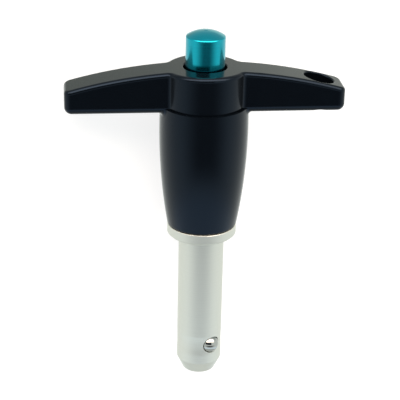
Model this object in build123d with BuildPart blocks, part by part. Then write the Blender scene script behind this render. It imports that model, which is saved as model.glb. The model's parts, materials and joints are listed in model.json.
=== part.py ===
from build123d import *
from math import asin, atan2, cos, degrees, hypot, radians, sin, sqrt
import os

# Ball lock pin with a T-handle: a steel pin whose two balls are held out by a spindle, until
# its sprung button is pressed and a neck in the spindle lets them sink.
#
# Sizes are in millimetres. Every piece is drawn upright: the pin's axis is Z, the button points
# up, the T-bar lies along X, and Z = 0 is the seat of the collar, which stops against the work.
# Each piece is laid down on its side, as the pin comes to rest, when it is written.

# Pin: the work is gripped between the collar and the balls, where they leave the pin's surface
pin_diameter = 10.0
grip_length = 25.0
nose_length = 5.5
nose_taper_length = 2.9
nose_taper_depth = 1.4
nose_edge = 0.25

# Collar and stem: the collar seats on the work, the handle is moulded round the stem
collar_diameter = 15.2
collar_thickness = 2.4
collar_chamfer = 0.35
collar_edge = 0.15
stem_diameter = 9.0
stem_length = 19.6
stem_groove_width = 3.0
stem_groove_depth = 0.5
stem_groove_height = 8.0

# Spindle: land behind the balls, ramp, neck that lets them in, rod up to the button, stop below
land_diameter = 3.84
land_setback = 0.1
ramp_length = 2.7
neck_overrun = 1.2
neck_shoulder = 0.5
rod_diameter = 2.8
stop_step = 0.4
stop_thickness = 1.0
stop_depth = 0.6
spindle_edge = 0.2

# Locking balls, and the play that every moving piece runs with
ball_reach = 1.0
ball_sink = 0.05
ball_angle = -59.0
pocket_mouth = 0.1
relief_depth = 0.05
relief_margin = 0.2
land_play = 0.08
neck_play = 0.05
pocket_play = 0.12
running_play = 0.06

# Button and its spring
button_travel = 3.8
button_diameter = 8.4
button_rise = 7.8
button_skirt = 6.0
button_dome = 1.3
button_edge = 0.4
button_wall = 1.0
button_crown = 7.4
button_grip = 3.4
button_gap = 0.45
spring_wire = 0.5
spring_coil_diameter = 5.2
spring_coils = 8
spring_play = 0.05

# Handle: round barrel, T-bar under a shallow arch, and the hub where they cross
barrel_foot_diameter = 15.2
barrel_swell = 0.765
barrel_top_diameter = 18.84
barrel_foot_edge = 0.6
barrel_top_edge = 0.5
bar_height = 26.75
bar_length = 59.3
bar_width = 8.3
bar_middle_depth = 9.25
bar_end_depth = 5.05
bar_lower_edge = 1.5
bar_upright_edge = 1.6
bar_top_edge = 0.9
hub_diameter = 17.6
hub_drop = 8.2
hub_blend = 1.2
underside_blend = 1.0
bore_lip = 0.25
lanyard_hole_diameter = 6.4
lanyard_hole_setback = 5.35
lanyard_hole_lip = 0.3

edge_tolerance = 0.01
rest_rounds = 20

# ------------------------------------------------------------------ worked out from the sizes
pin_radius = pin_diameter / 2
land_radius = land_diameter / 2
rod_radius = rod_diameter / 2
ball_radius = (pin_radius + ball_reach - land_radius - land_play) / 2
ball_orbit = pin_radius + ball_reach - ball_radius
ball_travel = ball_reach + ball_sink
neck_radius = ball_orbit - ball_travel - ball_radius - neck_play
pocket_radius = ball_radius + pocket_play
stop_radius = land_radius + stop_step

ball_z = -grip_length - sqrt(ball_radius**2 - (pin_radius - ball_orbit) ** 2)
tip_z = ball_z - ball_radius - nose_length
land_top = ball_z - land_setback
neck_bottom = land_top + ramp_length
neck_top = ball_z + button_travel + neck_overrun
stop_top = ball_z - pocket_radius - stop_depth
wide_bore_top = ball_z + pocket_radius
relief_reach = pocket_radius + relief_margin
stem_top = collar_thickness + stem_length

bar_bottom = collar_thickness + bar_height
hub_top = bar_bottom + bar_middle_depth
bar_end_top = bar_bottom + bar_end_depth
barrel_top = hub_top - hub_drop
barrel_middle = (collar_thickness + barrel_top) / 2
barrel_middle_radius = (barrel_foot_diameter + barrel_top_diameter) / 4 + barrel_swell
bar_reach = bar_length / 2
bar_half_width = bar_width / 2
lanyard_hole_x = bar_reach - lanyard_hole_setback
button_radius = button_diameter / 2
button_bore_radius = button_radius + button_gap

button_top = hub_top + button_rise
button_shoulder = button_top - button_dome
dome_radius = (button_radius**2 + button_dome**2) / (2 * button_dome)
button_bottom = hub_top - button_skirt
pocket_roof = button_top - button_crown
rod_top = pocket_roof + button_grip


# ------------------------------------------------------------------ shank
# One turned steel piece: nose, ground pin, collar and grooved stem, bored for the spindle from
# the tip, with a cross hole for the balls that closes in to a round seat just short of the
# surface, so that they can't fall out. A faint hollow round the pin there keeps the peened rims
# of the hole below the ground surface that the work slides on.
groove_bottom = collar_thickness + stem_groove_height
with BuildSketch(Plane.XZ) as stem_section:
    with BuildLine():
        Polyline(
            (0, 0),
            (stem_diameter / 2, 0),
            (stem_diameter / 2, groove_bottom),
            (stem_diameter / 2 - stem_groove_depth, groove_bottom),
            (stem_diameter / 2 - stem_groove_depth, groove_bottom + stem_groove_width),
            (stem_diameter / 2, groove_bottom + stem_groove_width),
            (stem_diameter / 2, stem_top),
            (0, stem_top),
            close=True,
        )
    make_face()

with BuildPart() as shank:
    with BuildSketch(Plane.XZ) as pin_section:
        with BuildLine():
            Polyline(
                (0, tip_z),
                (pin_radius - nose_taper_depth, tip_z),
                (pin_radius, tip_z + nose_taper_length),
                (pin_radius, ball_z - relief_reach),
            )
            ThreePointArc(
                (pin_radius, ball_z - relief_reach),
                (pin_radius - relief_depth, ball_z),
                (pin_radius, ball_z + relief_reach),
            )
            Polyline((pin_radius, ball_z + relief_reach), (pin_radius, 0), (0, 0), (0, tip_z))
        make_face()
        nose_corner = pin_section.vertices().group_by(Axis.Y)[0].sort_by(Axis.X)[-1]
        fillet(nose_corner, nose_edge)
    revolve(axis=Axis.Z)
    with BuildSketch(Plane.XZ) as collar_section:
        with Locations((0, collar_thickness / 2)):
            Rectangle(collar_diameter, collar_thickness)
        chamfer(collar_section.vertices().group_by(Axis.Y)[0], collar_chamfer)
        fillet(collar_section.vertices().group_by(Axis.Y)[-1], collar_edge)
        split(bisect_by=Plane.YZ, keep=Keep.TOP)
    revolve(axis=Axis.Z)
    revolve(stem_section.sketch, axis=Axis.Z)
    with BuildSketch(Plane.XZ):
        with BuildLine():
            Polyline(
                (0, tip_z),
                (stop_radius + running_play, tip_z),
                (stop_radius + running_play, stop_top),
                (land_radius + running_play, stop_top),
                (land_radius + running_play, wide_bore_top),
                (rod_radius + running_play, wide_bore_top),
                (rod_radius + running_play, stem_top),
                (0, stem_top),
                close=True,
            )
        make_face()
    revolve(axis=Axis.Z, mode=Mode.SUBTRACT)
    for ball_direction in (ball_angle, ball_angle + 180):
        outward = (cos(radians(ball_direction)), sin(radians(ball_direction)), 0)
        with BuildSketch(Plane((0, 0, ball_z), x_dir=outward, z_dir=(-outward[1], outward[0], 0))):
            with BuildLine():
                Line((0, 0), (ball_orbit + pocket_radius, 0))
                RadiusArc(
                    (ball_orbit + pocket_radius, 0), (ball_orbit, pocket_radius), -pocket_radius
                )
                Polyline((ball_orbit, pocket_radius), (0, pocket_radius), (0, 0))
            make_face()
        revolve(axis=Axis((0, 0, ball_z), outward), mode=Mode.SUBTRACT)
    relief = shank.faces().filter_by(GeomType.TORUS).sort_by(SortBy.AREA)[-1]
    chamfer([edge for mouth in relief.inner_wires() for edge in mouth.edges()], pocket_mouth)


# ------------------------------------------------------------------ spindle
# Turned steel, put in from the tip: the stop meets the step in the bore, the land stands
# behind the balls, and the neck above it comes down to them when the button is pressed.
with BuildPart() as spindle:
    with BuildSketch(Plane.XZ) as spindle_section:
        with BuildLine():
            Polyline(
                (0, stop_top - stop_thickness),
                (stop_radius, stop_top - stop_thickness),
                (stop_radius, stop_top),
                (land_radius, stop_top),
                (land_radius, land_top),
                (neck_radius, neck_bottom),
                (neck_radius, neck_top),
                (rod_radius, neck_top + neck_shoulder),
                (rod_radius, rod_top),
                (0, rod_top),
                close=True,
            )
        make_face()
        end_corners = spindle_section.vertices().filter_by(lambda corner: corner.X > 0)
        chamfer(end_corners.group_by(Axis.Y)[0], spindle_edge)
        chamfer(end_corners.group_by(Axis.Y)[-1], spindle_edge)
    revolve(axis=Axis.Z)

# ------------------------------------------------------------------ button
# Turned aluminium: a domed crown that is pressed on the rod, and a skirt round the spring.
with BuildPart() as button:
    with BuildSketch(Plane.XZ) as button_section:
        with BuildLine():
            RadiusArc((button_radius, button_shoulder), (0, button_top), -dome_radius)
            Polyline(
                (0, button_top),
                (0, rod_top),
                (rod_radius, rod_top),
                (rod_radius, pocket_roof),
                (button_radius - button_wall, pocket_roof),
                (button_radius - button_wall, button_bottom),
                (button_radius, button_bottom),
                (button_radius, button_shoulder),
            )
        make_face()
        rim = button_section.vertices().group_by(Axis.X)[-1]
        fillet(rim.sort_by(Axis.Y)[-1], button_edge)
        fillet(rim.sort_by(Axis.Y)[0], spindle_edge)
    revolve(axis=Axis.Z)

# ------------------------------------------------------------------ spring
# Compression spring on the rod, from the top of the stem to the roof of the button's skirt.
spring_bottom = stem_top + spring_wire / 2 + spring_play
spring_rise = pocket_roof - stem_top - spring_wire - 2 * spring_play
with BuildPart() as spring:
    with BuildLine():
        coil = Helix(
            pitch=spring_rise / spring_coils,
            height=spring_rise,
            radius=spring_coil_diameter / 2,
            center=(0, 0, spring_bottom),
        )
    with BuildSketch(Plane(coil @ 0, z_dir=coil % 0)):
        Circle(spring_wire / 2)
    sweep(is_frenet=True)

# ------------------------------------------------------------------ balls
with BuildPart(Plane((0, 0, ball_z)).rotated((0, 0, ball_angle))) as ball_front:
    with Locations((ball_orbit, 0, 0)):
        Sphere(ball_radius)

with BuildPart(Plane((0, 0, ball_z)).rotated((0, 0, ball_angle + 180))) as ball_rear:
    with Locations((ball_orbit, 0, 0)):
        Sphere(ball_radius)


def on_bore(edge, bore_x, bore_radius):
    """Tells whether an edge runs round an upright bore whose axis is at bore_x."""
    middle = edge.center()
    reach = hypot(middle.X - bore_x, middle.Y)
    return edge.geom_type != GeomType.LINE and abs(reach - bore_radius) < edge_tolerance


# ------------------------------------------------------------------ handle
# One moulding of black plastic: a barrel that swells from the collar, a T-bar under a shallow
# arch, and the hub that the two cross in, bored for the button and moulded round the stem.
with BuildPart() as handle:
    # T-bar and hub: their plan and their arched front, each extruded, and what the two share
    with BuildSketch(Plane.XY.offset(bar_bottom)) as bar_plan:
        RectangleRounded(bar_length, bar_width, bar_upright_edge)
        Circle(hub_diameter / 2)
        waist = bar_plan.vertices().filter_by(lambda corner: abs(corner.X) < hub_diameter / 2)
        fillet(waist, hub_blend)
    extrude(amount=bar_middle_depth)
    with BuildSketch(Plane.XZ):
        with BuildLine():
            Polyline(
                (-bar_reach, bar_end_top),
                (-bar_reach, bar_bottom),
                (bar_reach, bar_bottom),
                (bar_reach, bar_end_top),
            )
            ThreePointArc((bar_reach, bar_end_top), (0, hub_top), (-bar_reach, bar_end_top))
        make_face()
    extrude(amount=hub_diameter, both=True, mode=Mode.INTERSECT)
    fillet(handle.faces().sort_by(Axis.Z)[0].edges(), bar_lower_edge)
    fillet(handle.faces().sort_by(Axis.Z)[-1].edges(), bar_top_edge)

    # Barrel, and its blends into the undersides of the arms
    with BuildSketch(Plane.XZ) as barrel_section:
        with BuildLine():
            Polyline(
                (barrel_top_diameter / 2, barrel_top),
                (0, barrel_top),
                (0, collar_thickness),
                (barrel_foot_diameter / 2, collar_thickness),
            )
            barrel_side = ThreePointArc(
                (barrel_foot_diameter / 2, collar_thickness),
                (barrel_middle_radius, barrel_middle),
                (barrel_top_diameter / 2, barrel_top),
            )
        make_face()
        outer = barrel_section.vertices().filter_by(lambda corner: corner.X > 0).sort_by(Axis.Y)
        fillet(outer[0], barrel_foot_edge)
        fillet(outer[-1], barrel_top_edge)
    revolve(axis=Axis.Z)
    armpits = (
        handle.edges()
        .filter_by(GeomType.BSPLINE)
        .filter_by(lambda seam: bar_bottom - edge_tolerance < seam.center().Z < barrel_top)
    )
    fillet(armpits, min(underside_blend, barrel_top - bar_bottom))

    # Bores: for the button, for the stem it is moulded round, and for a lanyard
    with BuildSketch(Plane.XZ):
        with BuildLine():
            Polyline(
                (0, stem_top),
                (button_bore_radius, stem_top),
                (button_bore_radius, hub_top),
                (0, hub_top),
                close=True,
            )
        make_face()
    revolve(axis=Axis.Z, mode=Mode.SUBTRACT)
    revolve(stem_section.sketch, axis=Axis.Z, mode=Mode.SUBTRACT)
    with Locations((lanyard_hole_x, 0, hub_top)):
        Hole(lanyard_hole_diameter / 2)
    button_mouth = handle.edges().filter_by(
        lambda edge: edge.center().Z > barrel_top and on_bore(edge, 0, button_bore_radius)
    )
    fillet(button_mouth, bore_lip)
    lanyard_mouths = handle.edges().filter_by(
        lambda edge: on_bore(edge, lanyard_hole_x, lanyard_hole_diameter / 2)
    )
    fillet(lanyard_mouths, lanyard_hole_lip)

# ------------------------------------------------------------------ rest
# Unheld, the pin lies on its rear ball, the swell of its barrel and the lower rear corner of
# the left arm, the heavier one. Pitch lifts the button's end and roll lowers the left arm.


def angle_where(sine_part, cosine_part, total):
    """Gives the small angle t, in radians, at which sine_part*sin(t) + cosine_part*cos(t) = total."""
    return asin(total / hypot(sine_part, cosine_part)) - atan2(cosine_part, sine_part)


swell_radius = barrel_side.radius
swell_x = barrel_side.arc_center.X
swell_z = barrel_side.arc_center.Y
corner_x = bar_reach - bar_upright_edge
corner_y = bar_half_width - bar_upright_edge
corner_z = bar_bottom + bar_lower_edge
roll = 0.0
for _ in range(rest_rounds):
    ball_down = ball_orbit * cos(radians(ball_angle + 90) - roll)
    pitch = angle_where(swell_z - ball_z, ball_down - swell_x, swell_radius - ball_radius)
    axis_height = swell_radius + swell_x * cos(pitch) - swell_z * sin(pitch)
    corner_height = (axis_height + corner_z * sin(pitch) - bar_upright_edge) / cos(pitch)
    roll = angle_where(corner_x, corner_y, corner_height)
lying = Rot(X=degrees(pitch) - 90) * Rot(Z=-degrees(roll))
print(f"rests with the pin pitched {degrees(pitch):.3f} and rolled {degrees(roll):.3f} degrees")
print(f"seat centre {axis_height:.3f} mm above the surface, balls {2 * ball_radius:.3f} mm")

# ------------------------------------------------------------------ files
os.makedirs("parts", exist_ok=True)

handle.part.label = "handle"
export_step(handle.part.moved(lying), "parts/handle.step")

shank.part.label = "shank"
export_step(shank.part.moved(lying), "parts/shank.step")

spindle.part.label = "spindle"
export_step(spindle.part.moved(lying), "parts/spindle.step")

button.part.label = "button"
export_step(button.part.moved(lying), "parts/button.step")

spring.part.label = "spring"
export_step(spring.part.moved(lying), "parts/spring.step")

ball_front.part.label = "ball_front"
export_step(ball_front.part.moved(lying), "parts/ball_front.step")

ball_rear.part.label = "ball_rear"
export_step(ball_rear.part.moved(lying), "parts/ball_rear.step")
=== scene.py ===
# %% [markdown]
# # A ball lock pin, dressed for the camera
#
# The pin is a quick-release fastener. A ground steel shank slides into a hole, two balls near
# its tip stop it from sliding out, and pressing the button in the T-handle lets them sink.
# The imported model brings every piece at its full size, so this script never moves or reshapes one
# of them. It gives each surface its finish, winds the hidden spring again, and sets up the floor,
# the light and the camera.

# %% Load the imported model
import json
import math

import bpy
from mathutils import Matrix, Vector


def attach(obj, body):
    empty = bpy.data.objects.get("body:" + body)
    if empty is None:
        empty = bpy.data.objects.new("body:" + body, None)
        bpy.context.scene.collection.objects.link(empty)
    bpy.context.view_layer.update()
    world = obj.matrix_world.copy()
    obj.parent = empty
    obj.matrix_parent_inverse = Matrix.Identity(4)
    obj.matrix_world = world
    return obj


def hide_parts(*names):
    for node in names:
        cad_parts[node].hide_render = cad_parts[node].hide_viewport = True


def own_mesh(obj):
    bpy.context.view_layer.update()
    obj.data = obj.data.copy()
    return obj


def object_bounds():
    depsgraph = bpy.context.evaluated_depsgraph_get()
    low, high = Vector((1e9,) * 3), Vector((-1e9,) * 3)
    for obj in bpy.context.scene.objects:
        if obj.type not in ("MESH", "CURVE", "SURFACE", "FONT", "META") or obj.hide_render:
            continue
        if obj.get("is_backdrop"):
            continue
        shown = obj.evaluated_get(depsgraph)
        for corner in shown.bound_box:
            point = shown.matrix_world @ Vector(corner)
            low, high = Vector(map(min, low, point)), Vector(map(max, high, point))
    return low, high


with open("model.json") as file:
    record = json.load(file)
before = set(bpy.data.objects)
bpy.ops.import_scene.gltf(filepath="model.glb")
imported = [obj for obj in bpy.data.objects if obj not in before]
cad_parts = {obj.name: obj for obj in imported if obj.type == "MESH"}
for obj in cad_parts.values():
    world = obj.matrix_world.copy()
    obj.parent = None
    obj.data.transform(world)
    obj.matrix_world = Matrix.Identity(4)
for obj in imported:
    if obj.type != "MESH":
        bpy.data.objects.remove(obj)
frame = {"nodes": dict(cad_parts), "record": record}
cad_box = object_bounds()
nodes = frame["nodes"]
print("nodes:", sorted(nodes))

# %% [markdown]
# ## The pin's own directions
#
# The pin lies on its side, tilted a little by what it rests on, so none of the world's axes runs
# along it. The record's mounts do: one says which way the shank points, and another where the
# hole in the arm is. Three unit vectors come out of them, and everything below is placed by
# those three: along the pin towards its button, along the T-bar towards the arm with the hole,
# and out of the front.

# %% Work out the pin's directions
MM = 0.001

mounts = {mount["name"]: mount for mount in frame["record"]["mounts"]}
to_button = -Vector(mounts["shank"]["axis"]).normalized()
hole_centre = Vector(mounts["lanyard_hole"]["pos_m"])
to_hole = (hole_centre - hole_centre.dot(to_button) * to_button).normalized()
to_front = to_hole.cross(to_button).normalized()
print("towards the button:", [round(c, 4) for c in to_button])
print("out of the front:", [round(c, 4) for c in to_front])


def in_pin_frame(along_bar, forward, along_pin):
    """Turns a place or direction in the pin's own directions into the world's."""
    return to_hole * along_bar + to_front * forward + to_button * along_pin


# %% [markdown]
# ## The camera
#
# A long lens from about 290 mm away shows the pin upright and a little from above, turned by
# a few degrees so that the far arm falls back. Because the pin lies down, the camera hangs
# over it and is turned until the button is at the top of the frame. Its place is given as two
# angles and a distance from a point on the pin's axis, and a third angle leans it.

# %% Place the camera
CAMERA_DISTANCE = 286.8 * MM
CAMERA_TURN = math.radians(6.32)
CAMERA_RISE = math.radians(24.15)
CAMERA_LEAN = math.radians(1.28)
AIM_ALONG_PIN = 7.54 * MM
AIM_ALONG_BAR = -0.46 * MM
LENS_MM = 117.6
CLIP_START = 10 * MM


def aim(target, place, look_at, upwards):
    """Puts an object at a place, with its -Z towards look_at and its Y as near upwards as can be."""
    back = (place - look_at).normalized()
    right = upwards.cross(back).normalized()
    up = back.cross(right)
    axes = (right, up, back)
    for row in range(3):
        for column in range(3):
            target.matrix_world[row][column] = axes[column][row]
        target.matrix_world[row][3] = place[row]


aim_point = in_pin_frame(AIM_ALONG_BAR, 0, AIM_ALONG_PIN)
camera_offset = in_pin_frame(
    -math.sin(CAMERA_TURN) * math.cos(CAMERA_RISE),
    math.cos(CAMERA_TURN) * math.cos(CAMERA_RISE),
    math.sin(CAMERA_RISE),
)
camera_right = in_pin_frame(math.cos(CAMERA_TURN), math.sin(CAMERA_TURN), 0)
camera_up = camera_offset.cross(camera_right)
leaning_up = camera_up * math.cos(CAMERA_LEAN) - camera_right * math.sin(CAMERA_LEAN)

camera_data = bpy.data.cameras.new("camera")
camera_data.lens = LENS_MM
camera_data.clip_start = CLIP_START
camera = bpy.data.objects.new("camera", camera_data)
bpy.context.scene.collection.objects.link(camera)
aim(camera, aim_point + camera_offset * CAMERA_DISTANCE, aim_point, leaning_up)
bpy.context.scene.camera = camera
print("camera at", [round(c, 3) for c in camera.matrix_world.translation])

# %% [markdown]
# ## Two small helpers
#
# Colours are easiest to name as the hex values that a screen shows, but Blender mixes light in
# linear numbers, so one function turns the one into the other. A second function adds a node
# to any tree. An input is given as a value, which is set, as a socket, which is linked, or as
# a whole node, which stands for its first output in use. Every tree below is made with it. A
# Mix node has several inputs of each name, so its two colours are reached by their numbers.

# %% Define the helpers
SRGB_KNEE = 0.04045
SRGB_SLOPE = 12.92
SRGB_OFFSET = 0.055
SRGB_POWER = 2.4
MIX_BASE = 6
MIX_OVER = 7


def linear(hex_colour):
    """Turns "#rrggbb", as a screen shows it, into linear red, green, blue and alpha."""
    channels = [int(hex_colour[i : i + 2], 16) / 255 for i in (1, 3, 5)]
    curved = [
        c / SRGB_SLOPE
        if c <= SRGB_KNEE
        else ((c + SRGB_OFFSET) / (1 + SRGB_OFFSET)) ** SRGB_POWER
        for c in channels
    ]
    return (*curved, 1.0)


def add_node(tree, kind, inputs=None, **settings):
    """Adds a node. Each input is a value to set, or a socket or another node to link."""
    node = tree.nodes.new(kind)
    for name, value in settings.items():
        setattr(node, name, value)
    for key, value in (inputs or {}).items():
        if isinstance(value, bpy.types.Node):
            value = next(socket for socket in value.outputs if socket.enabled)
        if isinstance(value, bpy.types.NodeSocket):
            tree.links.new(value, node.inputs[key])
        else:
            node.inputs[key].default_value = value
    return node


def new_material(name):
    """Makes an empty node material, and returns both it and its tree."""
    material = bpy.data.materials.new(name)
    material.use_nodes = True
    material.node_tree.nodes.clear()
    return material, material.node_tree


# %% [markdown]
# ## Tool marks that follow the lathe
#
# The shank, the spindle and the button are turned on a lathe, so their marks run round the
# axis: rings on an end face, and hoops on a side. Both come from one coordinate. Object
# coordinates are first turned so that Z runs along the pin, and then each point is described by
# just two numbers, its distance from the axis and its place along it. Noise in those two
# numbers draws hoops and rings by itself, because nothing changes round the axis.

# %% Describe a point by its radius and its place along the pin
TILT_TO_UPRIGHT = math.atan2(to_button.y, to_button.z)
MARK_ROUGHNESS = 0.6


def lathe_coordinates(tree):
    """Adds nodes that give (distance from the pin's axis, place along it, 0), in metres."""
    place = add_node(tree, "ShaderNodeTexCoord")
    upright = add_node(
        tree,
        "ShaderNodeMapping",
        {"Vector": place.outputs["Object"], "Rotation": (TILT_TO_UPRIGHT, 0, 0)},
    )
    parts = add_node(tree, "ShaderNodeSeparateXYZ", {"Vector": upright})
    across = add_node(
        tree, "ShaderNodeCombineXYZ", {"X": parts.outputs["X"], "Y": parts.outputs["Y"]}
    )
    radius = add_node(tree, "ShaderNodeVectorMath", {0: across}, operation="LENGTH")
    return add_node(tree, "ShaderNodeCombineXYZ", {"X": radius, "Y": parts.outputs["Z"]})


def turned_marks(tree, spacing_mm, detail):
    """Adds nodes that give the height, from 0 to 1, of tool marks about spacing_mm apart."""
    return add_node(
        tree,
        "ShaderNodeTexNoise",
        {
            "Vector": lathe_coordinates(tree),
            "Scale": 1 / (spacing_mm * MM),
            "Detail": detail,
            "Roughness": MARK_ROUGHNESS,
        },
        noise_dimensions="2D",
    )


print(f"the lathe's axis is tilted by {math.degrees(TILT_TO_UPRIGHT):.2f} degrees")

# %% [markdown]
# ## The shank: ground stainless steel
#
# The shank was turned and then ground, which leaves very fine hoops. Across them light spreads
# widely, and along them hardly at all, so the pin looks satin and shows soft upright bands.
# Anisotropy says that to the shader, with a tangent that runs round Y, which is within five
# degrees of the pin's axis. Grinding marks are usually a few hundredths of a millimetre apart,
# too fine to show, so they are drawn at a quarter of a millimetre and kept faint.

# %% Make the ground steel
GRIND_SPACING_MM = 0.25
GRIND_DETAIL = 3.0
GRIND_STRENGTH = 0.5
GRIND_SPREAD = 0.6


def ground_steel(name, light, dark, smooth, rough, mark_depth_mm):
    """A turned and ground steel, between two greys and two roughnesses."""
    material, tree = new_material(name)
    marks = turned_marks(tree, GRIND_SPACING_MM, GRIND_DETAIL)
    grey = add_node(
        tree,
        "ShaderNodeMix",
        {"Factor": marks, MIX_BASE: linear(dark), MIX_OVER: linear(light)},
        data_type="RGBA",
    )
    roughness = add_node(
        tree, "ShaderNodeMapRange", {"Value": marks, "To Min": smooth, "To Max": rough}
    )
    bump = add_node(
        tree,
        "ShaderNodeBump",
        {"Height": marks, "Strength": GRIND_STRENGTH, "Distance": mark_depth_mm * MM},
    )
    steel = add_node(
        tree,
        "ShaderNodeBsdfPrincipled",
        {
            "Base Color": grey,
            "Metallic": 1.0,
            "Roughness": roughness,
            "Anisotropic": GRIND_SPREAD,
            "Tangent": add_node(tree, "ShaderNodeTangent", direction_type="RADIAL", axis="Y"),
            "Normal": bump,
        },
    )
    add_node(tree, "ShaderNodeOutputMaterial", {"Surface": steel})
    print("made", name)
    return material


shank_steel = ground_steel(
    "ground_stainless_steel", "#e0e1d9", "#d4d5cd", smooth=0.38, rough=0.50, mark_depth_mm=0.004
)
spindle_steel = ground_steel(
    "turned_stainless_steel", "#c4c6c3", "#aeb1ae", smooth=0.22, rough=0.34, mark_depth_mm=0.006
)

# %% [markdown]
# ## The balls: hardened and lapped
#
# A bearing ball is close to a mirror. Its only marks are hairline scratches from being pushed
# through holes, so it gets a low roughness and a faint, stretched noise. Such scratches are far
# too fine to show, so the noise is drawn at half a millimetre.

# %% Make the polished ball steel
SCUFF_MM = 0.5
SCUFF_STRETCH = (1.0, 1.0, 6.0)
SCUFF_DETAIL = 4.0


def lapped_steel(name, light, dark, smooth, rough):
    """A hardened ball: nearly a mirror, with faint handling marks."""
    material, tree = new_material(name)
    place = add_node(tree, "ShaderNodeTexCoord")
    stretched = add_node(
        tree,
        "ShaderNodeMapping",
        {"Vector": place.outputs["Object"], "Scale": SCUFF_STRETCH},
    )
    scuffs = add_node(
        tree,
        "ShaderNodeTexNoise",
        {"Vector": stretched, "Scale": 1 / (SCUFF_MM * MM), "Detail": SCUFF_DETAIL},
    )
    grey = add_node(
        tree,
        "ShaderNodeMix",
        {"Factor": scuffs, MIX_BASE: linear(dark), MIX_OVER: linear(light)},
        data_type="RGBA",
    )
    roughness = add_node(
        tree, "ShaderNodeMapRange", {"Value": scuffs, "To Min": smooth, "To Max": rough}
    )
    steel = add_node(
        tree,
        "ShaderNodeBsdfPrincipled",
        {"Base Color": grey, "Metallic": 1.0, "Roughness": roughness},
    )
    add_node(tree, "ShaderNodeOutputMaterial", {"Surface": steel})
    print("made", name)
    return material


ball_steel = lapped_steel("hardened_steel_ball", "#b4b7b4", "#a4a7a4", smooth=0.05, rough=0.10)

# %% [markdown]
# ## The button: anodised aluminium
#
# Anodising grows a clear, hard oxide on aluminium and soaks it with dye. Light passes the dye
# twice on its way to the metal and back, so the reflection itself is coloured, as a tinted
# metal's is, and the oxide adds a thin colourless gloss on top. That is a metallic base with
# a coat. The turning marks stay in from the lathe. On such parts they are about a tenth of a
# millimetre apart, and they are drawn about twice as coarse here, so that they show.

# %% Make the anodised aluminium
TURNING_SPACING_MM = 0.22
TURNING_DETAIL = 2.0
TURNING_STRENGTH = 0.4
TURNING_DEPTH_MM = 0.004
OXIDE_WEIGHT = 0.28
OXIDE_ROUGHNESS = 0.1


def anodised_aluminium(name, light, dark, smooth, rough):
    """Dyed, anodised aluminium with its turning marks."""
    material, tree = new_material(name)
    marks = turned_marks(tree, TURNING_SPACING_MM, TURNING_DETAIL)
    dye = add_node(
        tree,
        "ShaderNodeMix",
        {"Factor": marks, MIX_BASE: linear(dark), MIX_OVER: linear(light)},
        data_type="RGBA",
    )
    roughness = add_node(
        tree, "ShaderNodeMapRange", {"Value": marks, "To Min": smooth, "To Max": rough}
    )
    bump = add_node(
        tree,
        "ShaderNodeBump",
        {"Height": marks, "Strength": TURNING_STRENGTH, "Distance": TURNING_DEPTH_MM * MM},
    )
    metal = add_node(
        tree,
        "ShaderNodeBsdfPrincipled",
        {
            "Base Color": dye,
            "Metallic": 1.0,
            "Roughness": roughness,
            "Coat Weight": OXIDE_WEIGHT,
            "Coat Roughness": OXIDE_ROUGHNESS,
            "Normal": bump,
        },
    )
    add_node(tree, "ShaderNodeOutputMaterial", {"Surface": metal})
    print("made", name)
    return material


button_aluminium = anodised_aluminium(
    "anodised_aluminium", "#04abbe", "#0296aa", smooth=0.13, rough=0.20
)

# %% [markdown]
# ## The handle: moulded glass-fibre polyamide
#
# The grip is one moulding of black polyamide filled with glass fibre. Moulds for such grips are
# often spark eroded, which leaves a fine even grain, and where the melt ran the gloss changes a
# little. A near-black colour, a low roughness that drifts over a few millimetres, and a shallow
# grain bump say that. The grain is drawn at 0.2 mm, coarser than a real one, so that it shows.
#
# The gloss is turned well down and tinted a cool blue. Both were chosen for a deep black whose
# reflections stay faint and cool, and neither is a measured property of the plastic.

# %% Make the moulded polyamide
GRAIN_MM = 0.2
GRAIN_DETAIL = 2.0
GRAIN_STRENGTH = 0.25
GRAIN_DEPTH_MM = 0.01
FLOW_MM = 5.0
FLOW_DETAIL = 3.0
FLOW_DISTORTION = 0.6
POLYAMIDE_IOR = 1.53
SKIN_GLOSS = 0.22
SKIN_TINT = "#b4d4fc"


def moulded_polyamide(name, light, dark, smooth, rough):
    """Black glass-filled polyamide out of a spark-eroded mould."""
    material, tree = new_material(name)
    place = add_node(tree, "ShaderNodeTexCoord").outputs["Object"]
    grain = add_node(
        tree,
        "ShaderNodeTexNoise",
        {"Vector": place, "Scale": 1 / (GRAIN_MM * MM), "Detail": GRAIN_DETAIL},
    )
    flow = add_node(
        tree,
        "ShaderNodeTexNoise",
        {
            "Vector": place,
            "Scale": 1 / (FLOW_MM * MM),
            "Detail": FLOW_DETAIL,
            "Distortion": FLOW_DISTORTION,
        },
    )
    black = add_node(
        tree,
        "ShaderNodeMix",
        {"Factor": flow, MIX_BASE: linear(dark), MIX_OVER: linear(light)},
        data_type="RGBA",
    )
    roughness = add_node(
        tree, "ShaderNodeMapRange", {"Value": flow, "To Min": smooth, "To Max": rough}
    )
    bump = add_node(
        tree,
        "ShaderNodeBump",
        {"Height": grain, "Strength": GRAIN_STRENGTH, "Distance": GRAIN_DEPTH_MM * MM},
    )
    plastic = add_node(
        tree,
        "ShaderNodeBsdfPrincipled",
        {
            "Base Color": black,
            "Roughness": roughness,
            "IOR": POLYAMIDE_IOR,
            "Specular IOR Level": SKIN_GLOSS,
            "Specular Tint": linear(SKIN_TINT),
            "Normal": bump,
        },
    )
    add_node(tree, "ShaderNodeOutputMaterial", {"Surface": plastic})
    print("made", name)
    return material


handle_plastic = moulded_polyamide(
    "glass_fibre_polyamide", "#05080c", "#040609", smooth=0.12, rough=0.18
)

# %% [markdown]
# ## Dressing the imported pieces
#
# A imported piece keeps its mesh, and only its material changes. Each one has a single slot. The
# spring isn't listed, because the wound one below takes its place.

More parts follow.
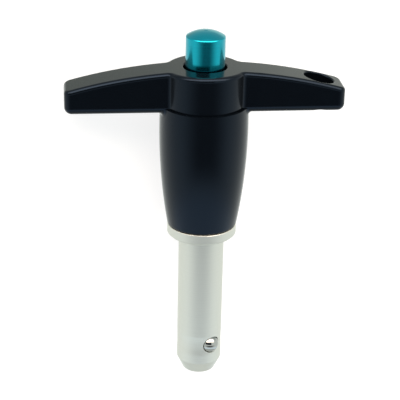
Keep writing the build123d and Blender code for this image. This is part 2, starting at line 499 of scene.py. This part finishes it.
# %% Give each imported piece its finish
FINISHES = {
    "handle": handle_plastic,
    "shank": shank_steel,
    "spindle": spindle_steel,
    "button": button_aluminium,
    "ball_front": ball_steel,
    "ball_rear": ball_steel,
}
for node_name, finish in FINISHES.items():
    piece_slots = nodes[node_name].data.materials
    piece_slots.clear()
    piece_slots.append(finish)
    print(node_name, "is", finish.name)

# %% [markdown]
# ## The spring, wound with Geometry Nodes
#
# The spring under the button can't be seen unless the handle is cut open, but it has to shorten when
# the button is pressed. A spring follows a rule, so Geometry Nodes winds it: a line of points is
# wrapped round the axis, and a small circle is swept along it. Near each end the pitch falls to one
# wire diameter, which gives the closed coils that a real compression spring sits on. The result is
# baked to a plain mesh and laid along the pin.

# %% Build the winding tree
SPRING_TURNS = 9.0
SPRING_CLOSED_TURNS = 1.25
SPRING_POINTS = 400
SPRING_WIRE_SIDES = 12


def winding_tree(wire_material):
    """Builds the node tree of a compression spring that stands on Z = 0."""
    tree = bpy.data.node_groups.new("wind_spring", "GeometryNodeTree")
    tree.interface.new_socket("Geometry", in_out="OUTPUT", socket_type="NodeSocketGeometry")
    for name in ("Height", "Coil radius", "Wire radius", "Turns", "Closed turns"):
        tree.interface.new_socket(name, in_out="INPUT", socket_type="NodeSocketFloat")
    sizes = add_node(tree, "NodeGroupInput").outputs
    coil, turns, wire_radius = sizes["Coil radius"], sizes["Turns"], sizes["Wire radius"]

    # Each point's share of the way along the wire, and the turns and angle it has gone through
    line = add_node(tree, "GeometryNodeMeshLine", {"Count": SPRING_POINTS, "Offset": (0, 0, 0)})
    index = add_node(tree, "GeometryNodeInputIndex")
    share = add_node(tree, "ShaderNodeMath", {0: index, 1: SPRING_POINTS - 1}, operation="DIVIDE")
    turned = add_node(tree, "ShaderNodeMath", {0: share, 1: turns}, operation="MULTIPLY")
    angle = add_node(tree, "ShaderNodeMath", {0: turned, 1: 2 * math.pi}, operation="MULTIPLY")

    # The rise of coils that touch, and over it the rise that opens those between the ends
    wire = add_node(tree, "ShaderNodeMath", {0: wire_radius, 1: 2.0}, operation="MULTIPLY")
    closed_rise = add_node(tree, "ShaderNodeMath", {0: turned, 1: wire}, operation="MULTIPLY")
    solid_height = add_node(tree, "ShaderNodeMath", {0: turns, 1: wire}, operation="MULTIPLY")
    run = add_node(tree, "ShaderNodeMath", {0: sizes["Height"], 1: wire}, operation="SUBTRACT")
    open_rise = add_node(tree, "ShaderNodeMath", {0: run, 1: solid_height}, operation="SUBTRACT")
    foot_share = add_node(
        tree, "ShaderNodeMath", {0: sizes["Closed turns"], 1: turns}, operation="DIVIDE"
    )
    head_share = add_node(tree, "ShaderNodeMath", {0: 1.0, 1: foot_share}, operation="SUBTRACT")
    opened = add_node(tree, "ShaderNodeMath", {0: open_rise, 1: wire_radius}, operation="ADD")
    stretch = add_node(
        tree,
        "ShaderNodeMapRange",
        {
            "Value": share,
            "From Min": foot_share,
            "From Max": head_share,
            "To Min": wire_radius,
            "To Max": opened,
        },
    )

    # The line wrapped round the axis, with the wire's section swept along it
    cosine = add_node(tree, "ShaderNodeMath", {0: angle}, operation="COSINE")
    sine = add_node(tree, "ShaderNodeMath", {0: angle}, operation="SINE")
    point = add_node(
        tree,
        "ShaderNodeCombineXYZ",
        {
            "X": add_node(tree, "ShaderNodeMath", {0: cosine, 1: coil}, operation="MULTIPLY"),
            "Y": add_node(tree, "ShaderNodeMath", {0: sine, 1: coil}, operation="MULTIPLY"),
            "Z": add_node(tree, "ShaderNodeMath", {0: closed_rise, 1: stretch}, operation="ADD"),
        },
    )
    wound = add_node(tree, "GeometryNodeSetPosition", {"Geometry": line, "Position": point})
    path = add_node(tree, "GeometryNodeMeshToCurve", {"Mesh": wound})
    ring = add_node(
        tree,
        "GeometryNodeCurvePrimitiveCircle",
        {"Resolution": SPRING_WIRE_SIDES, "Radius": wire_radius},
    )
    swept = add_node(
        tree,
        "GeometryNodeCurveToMesh",
        {"Curve": path, "Profile Curve": ring, "Fill Caps": True},
    )
    smooth = add_node(tree, "GeometryNodeSetShadeSmooth", {"Geometry": swept})
    plain = add_node(tree, "GeometryNodeRealizeInstances", {"Geometry": smooth})
    dressed = add_node(
        tree, "GeometryNodeSetMaterial", {"Geometry": plain, "Material": wire_material}
    )
    add_node(tree, "NodeGroupOutput", {"Geometry": dressed})
    print("the winding tree has", len(tree.nodes), "nodes")
    return tree


# %% [markdown]
# The tree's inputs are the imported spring's sizes. Its height and the radius of its coil are
# measured from its points, and the wire's diameter is written down. The wire takes the ground
# steel's finish, a little smoother. A modifier's input is set by the socket's identifier,
# because two inputs may share a name. Once evaluated, the mesh is turned to lie along the pin,
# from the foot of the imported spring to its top.

# %% Wind the spring and lay it in place
WIRE_DIAMETER = 0.5 * MM
spring_along = [v.co.dot(to_button) for v in nodes["spring"].data.vertices]
spring_across = [
    (v.co - v.co.dot(to_button) * to_button).length for v in nodes["spring"].data.vertices
]
spring_foot = min(spring_along)
spring_height = max(spring_along) - spring_foot
coil_radius = max(spring_across) - WIRE_DIAMETER / 2

spring_steel = ground_steel(
    "spring_wire", "#b9bbb8", "#a3a6a3", smooth=0.20, rough=0.30, mark_depth_mm=0.002
)
winding = winding_tree(spring_steel)
blank = bpy.data.objects.new("spring_blank", bpy.data.meshes.new("spring_blank"))
bpy.context.scene.collection.objects.link(blank)
modifier = blank.modifiers.new("wind", "NODES")
modifier.node_group = winding
SPRING_SIZES = {
    "Height": spring_height,
    "Coil radius": coil_radius,
    "Wire radius": WIRE_DIAMETER / 2,
    "Turns": SPRING_TURNS,
    "Closed turns": SPRING_CLOSED_TURNS,
}
for socket in winding.interface.items_tree:
    if socket.in_out == "INPUT":
        modifier[socket.identifier] = SPRING_SIZES[socket.name]

evaluated = blank.evaluated_get(bpy.context.evaluated_depsgraph_get())
spring_mesh = bpy.data.meshes.new_from_object(evaluated)
bpy.data.objects.remove(blank)
for vertex in spring_mesh.vertices:
    x, y, z = vertex.co
    vertex.co = in_pin_frame(x, -y, spring_foot + z)
spring_coil = bpy.data.objects.new("spring_coil", spring_mesh)
bpy.context.scene.collection.objects.link(spring_coil)
print(f"spring: {spring_height / MM:.2f} mm high, {len(spring_mesh.polygons)} faces")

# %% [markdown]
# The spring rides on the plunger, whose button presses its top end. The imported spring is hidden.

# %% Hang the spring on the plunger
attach(spring_coil, "plunger")
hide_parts("spring")
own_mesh(spring_coil)

# %% [markdown]
# ## The light tent
#
# Shiny things show what stands round them, so they are lit from inside a tent of pale cloth.
# The tent is the world, painted by direction. Two pairs of angles say where on it a reflection
# lands:
#
# - Height above the pin's waist, and bearing round the pin, from 0 in front to the arm with
#   the hole at 90. A surface that is turned about the pin's axis mirrors one height, so these
#   two place what the barrel, the button and the shank show.
# - Turn round the T-bar, from 0 in front over the button at 90 to the back at 180, and slant
#   towards one end of the bar. The bar's long faces and edges each mirror one turn, so these
#   two place what the arms show.
#
# Every fitting of the tent is a soft-edged patch in one of these pairs, laid over the ones
# before it. A black patch round the camera and a shaded one low in front keep plain black
# fronts black. A bright strip high in front draws the highlight along the upper edges, and a
# dimmer roof and back make the top faces grey. Light from the sky comes in lower still, in
# front and at the sides. A brightness of 1 is what the camera sees as white. The cloth is at
# about that, the sky somewhat above, the strip four to six times as bright, and the rest below.
# Every fitting was placed and coloured until the pin looked right from the camera, so the tent is no
# record of a real studio.

# %% Paint the tent
CLOTH = (0.98, 1.02, 0.98, 1.0)
LOW_CLOTH = (0.70, 0.73, 0.70, 1.0)
SKYLIGHT = (1.16, 1.32, 1.44, 1.0)
SHADE = (0.15, 0.15, 0.16, 1.0)
LENS_BLACK = (0.02, 0.02, 0.03, 1.0)
STRIP = (5.8, 5.0, 4.3, 1.0)
ROOF = (0.58, 0.62, 0.61, 1.0)
BACK_LEFT = (0.50, 0.55, 0.49, 1.0)
BACK_RIGHT = (0.92, 0.96, 0.86, 1.0)
WHITE = (1.0, 1.0, 1.0, 1.0)
LOW_BAND = (-90, 34, 46)
BACK_LEFT_SLANT = -25
BACK_RIGHT_SLANT = 30


def band(tree, angle, centre, inner, outer):
    """Adds nodes that give 1 within inner degrees of a centre, and 0 beyond outer degrees."""
    off_centre = add_node(
        tree, "ShaderNodeMath", {0: angle, 1: math.radians(centre)}, operation="SUBTRACT"
    )
    distance = add_node(tree, "ShaderNodeMath", {0: off_centre}, operation="ABSOLUTE")
    outside = add_node(
        tree,
        "ShaderNodeMapRange",
        {
            "Value": distance,
            "From Min": math.radians(inner),
            "From Max": math.radians(outer),
        },
        interpolation_type="SMOOTHSTEP",
    )
    return add_node(tree, "ShaderNodeMath", {0: 1.0, 1: outside}, operation="SUBTRACT")


def paint_tent(tree):
    """Adds nodes that give the tent's colour in the world's direction."""
    direction = add_node(tree, "ShaderNodeTexCoord").outputs["Generated"]
    upward, sideward, forward = (
        add_node(tree, "ShaderNodeVectorMath", {0: direction, 1: axis}, operation="DOT_PRODUCT")
        for axis in (to_button, to_hole, to_front)
    )
    height = add_node(tree, "ShaderNodeMath", {0: upward}, operation="ARCSINE")
    bearing = add_node(tree, "ShaderNodeMath", {0: sideward, 1: forward}, operation="ARCTAN2")
    turn = add_node(tree, "ShaderNodeMath", {0: upward, 1: forward}, operation="ARCTAN2")
    slant = add_node(tree, "ShaderNodeMath", {0: sideward}, operation="ARCSINE")

    towards_hole = add_node(
        tree,
        "ShaderNodeMapRange",
        {
            "Value": slant,
            "From Min": math.radians(BACK_LEFT_SLANT),
            "From Max": math.radians(BACK_RIGHT_SLANT),
        },
        interpolation_type="SMOOTHSTEP",
    )
    back = add_node(
        tree,
        "ShaderNodeMix",
        {"Factor": towards_hole, MIX_BASE: BACK_LEFT, MIX_OVER: BACK_RIGHT},
        data_type="RGBA",
    )
    colour = add_node(
        tree,
        "ShaderNodeMix",
        {"Factor": band(tree, height, *LOW_BAND), MIX_BASE: CLOTH, MIX_OVER: LOW_CLOTH},
        data_type="RGBA",
    )

    # Each fitting: two angles, each with its centre and its inner and outer reach, and a colour
    fittings = [
        ((height, -45, 7, 14), (bearing, 0, 90, 130), SKYLIGHT),
        ((turn, 160, 9, 16), (slant, 0, 45, 60), back),
        ((turn, 127, 20, 30), (slant, 0, 55, 75), ROOF),
        ((turn, 62, 14, 28), (slant, 0, 40, 60), STRIP),
        ((height, -20, 8, 13.5), (bearing, 0, 12, 72), SHADE),
        ((height, 17, 11, 17), (bearing, -20, 36, 46), LENS_BLACK),
    ]
    for first, second, fitting in fittings:
        patch = add_node(
            tree,
            "ShaderNodeMath",
            {0: band(tree, *first), 1: band(tree, *second)},
            operation="MULTIPLY",
        )
        colour = add_node(
            tree,
            "ShaderNodeMix",
            {"Factor": patch, MIX_BASE: colour, MIX_OVER: fitting},
            data_type="RGBA",
        )
    return colour


world = bpy.data.worlds.new("light_tent")
bpy.context.scene.world = world
world.use_nodes = True
world.node_tree.nodes.clear()
sky = world.node_tree
tent = add_node(sky, "ShaderNodeBackground", {"Color": paint_tent(sky)})
backdrop = add_node(sky, "ShaderNodeBackground", {"Color": WHITE})
sight = add_node(sky, "ShaderNodeLightPath")
shown = add_node(
    sky, "ShaderNodeMixShader", {0: sight.outputs["Is Camera Ray"], 1: tent, 2: backdrop}
)
add_node(sky, "ShaderNodeOutputWorld", {"Surface": shown})
print("the world has", len(sky.nodes), "nodes")

# %% [markdown]
# ## The floor
#
# The pin lies on plain white paper. To the camera the paper glows a little, so that it reads as
# white, and it still takes the pin's shadow. To other rays it is ordinary pale paper. Shiny
# surfaces look through it to the tent, so that a reflection doesn't break off where the paper
# would cut across it. It casts no shadow itself, so the tent lights the pin from below as well.

# %% Lay the floor
FLOOR_SIZE = 4.0
PAPER = (0.8, 0.8, 0.8, 1.0)
SEEN_PAPER = (0.3, 0.3, 0.3, 1.0)
SEEN_GLOW = 0.8


def white_paper(name):
    """Pale paper that the camera sees as white, with the shadows left on it."""
    material, tree = new_material(name)
    lit = add_node(tree, "ShaderNodeBsdfDiffuse", {"Color": PAPER})
    faint = add_node(tree, "ShaderNodeBsdfDiffuse", {"Color": SEEN_PAPER})
    glow = add_node(tree, "ShaderNodeEmission", {"Strength": SEEN_GLOW})
    seen = add_node(tree, "ShaderNodeAddShader", {0: faint, 1: glow})
    sight = add_node(tree, "ShaderNodeLightPath")
    paper = add_node(
        tree, "ShaderNodeMixShader", {0: sight.outputs["Is Camera Ray"], 1: lit, 2: seen}
    )
    add_node(tree, "ShaderNodeOutputMaterial", {"Surface": paper})
    return material


reach = FLOOR_SIZE / 2
floor_level = cad_box[0].z
floor_mesh = bpy.data.meshes.new("floor")
floor_mesh.from_pydata(
    [
        (-reach, -reach, floor_level),
        (reach, -reach, floor_level),
        (reach, reach, floor_level),
        (-reach, reach, floor_level),
    ],
    [],
    [(0, 1, 2, 3)],
)
floor_mesh.materials.append(white_paper("white_paper"))
floor = bpy.data.objects.new("floor", floor_mesh)
bpy.context.scene.collection.objects.link(floor)
floor.visible_glossy = False
floor.visible_shadow = False
floor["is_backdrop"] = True
print(f"floor at {floor_level / MM:.2f} mm")

# %% [markdown]
# One lamp is hung as well, out beyond the button and somewhat in front of the pin. It is
# chosen as a brightness on the tent's scale, or close to it, and its power follows from that
# and its area.

# %% Hang the softbox
LAMP_DISTANCE = 0.5
LAMP_WIDTH = 0.4
LAMP_HEIGHT = 0.14
LAMP_RADIANCE = 1.5
LAMP_FORWARD = 0.5
LAMP_ALONG_PIN = 0.87

lamp_data = bpy.data.lights.new("rim_softbox", "AREA")
lamp_data.shape = "RECTANGLE"
lamp_data.size = LAMP_WIDTH
lamp_data.size_y = LAMP_HEIGHT
lamp_data.energy = LAMP_RADIANCE * math.pi * LAMP_WIDTH * LAMP_HEIGHT
lamp = bpy.data.objects.new("rim_softbox", lamp_data)
bpy.context.scene.collection.objects.link(lamp)
pin_middle = (cad_box[0] + cad_box[1]) / 2
towards_lamp = in_pin_frame(0, LAMP_FORWARD, LAMP_ALONG_PIN).normalized()
aim(lamp, pin_middle + towards_lamp * LAMP_DISTANCE, pin_middle, to_front)
print(f"softbox: {lamp_data.energy:.2f} W")

# %% [markdown]
# ## Finish
#
# Colours leave the renderer as they are written. The dressed model's size is printed.

# %% Set the view, print the size and finish
bpy.context.scene.view_settings.view_transform = "Standard"
dressed_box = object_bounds()
dressed_size = dressed_box[1] - dressed_box[0]
print("dressed size, mm:", [round(side / MM, 2) for side in dressed_size])
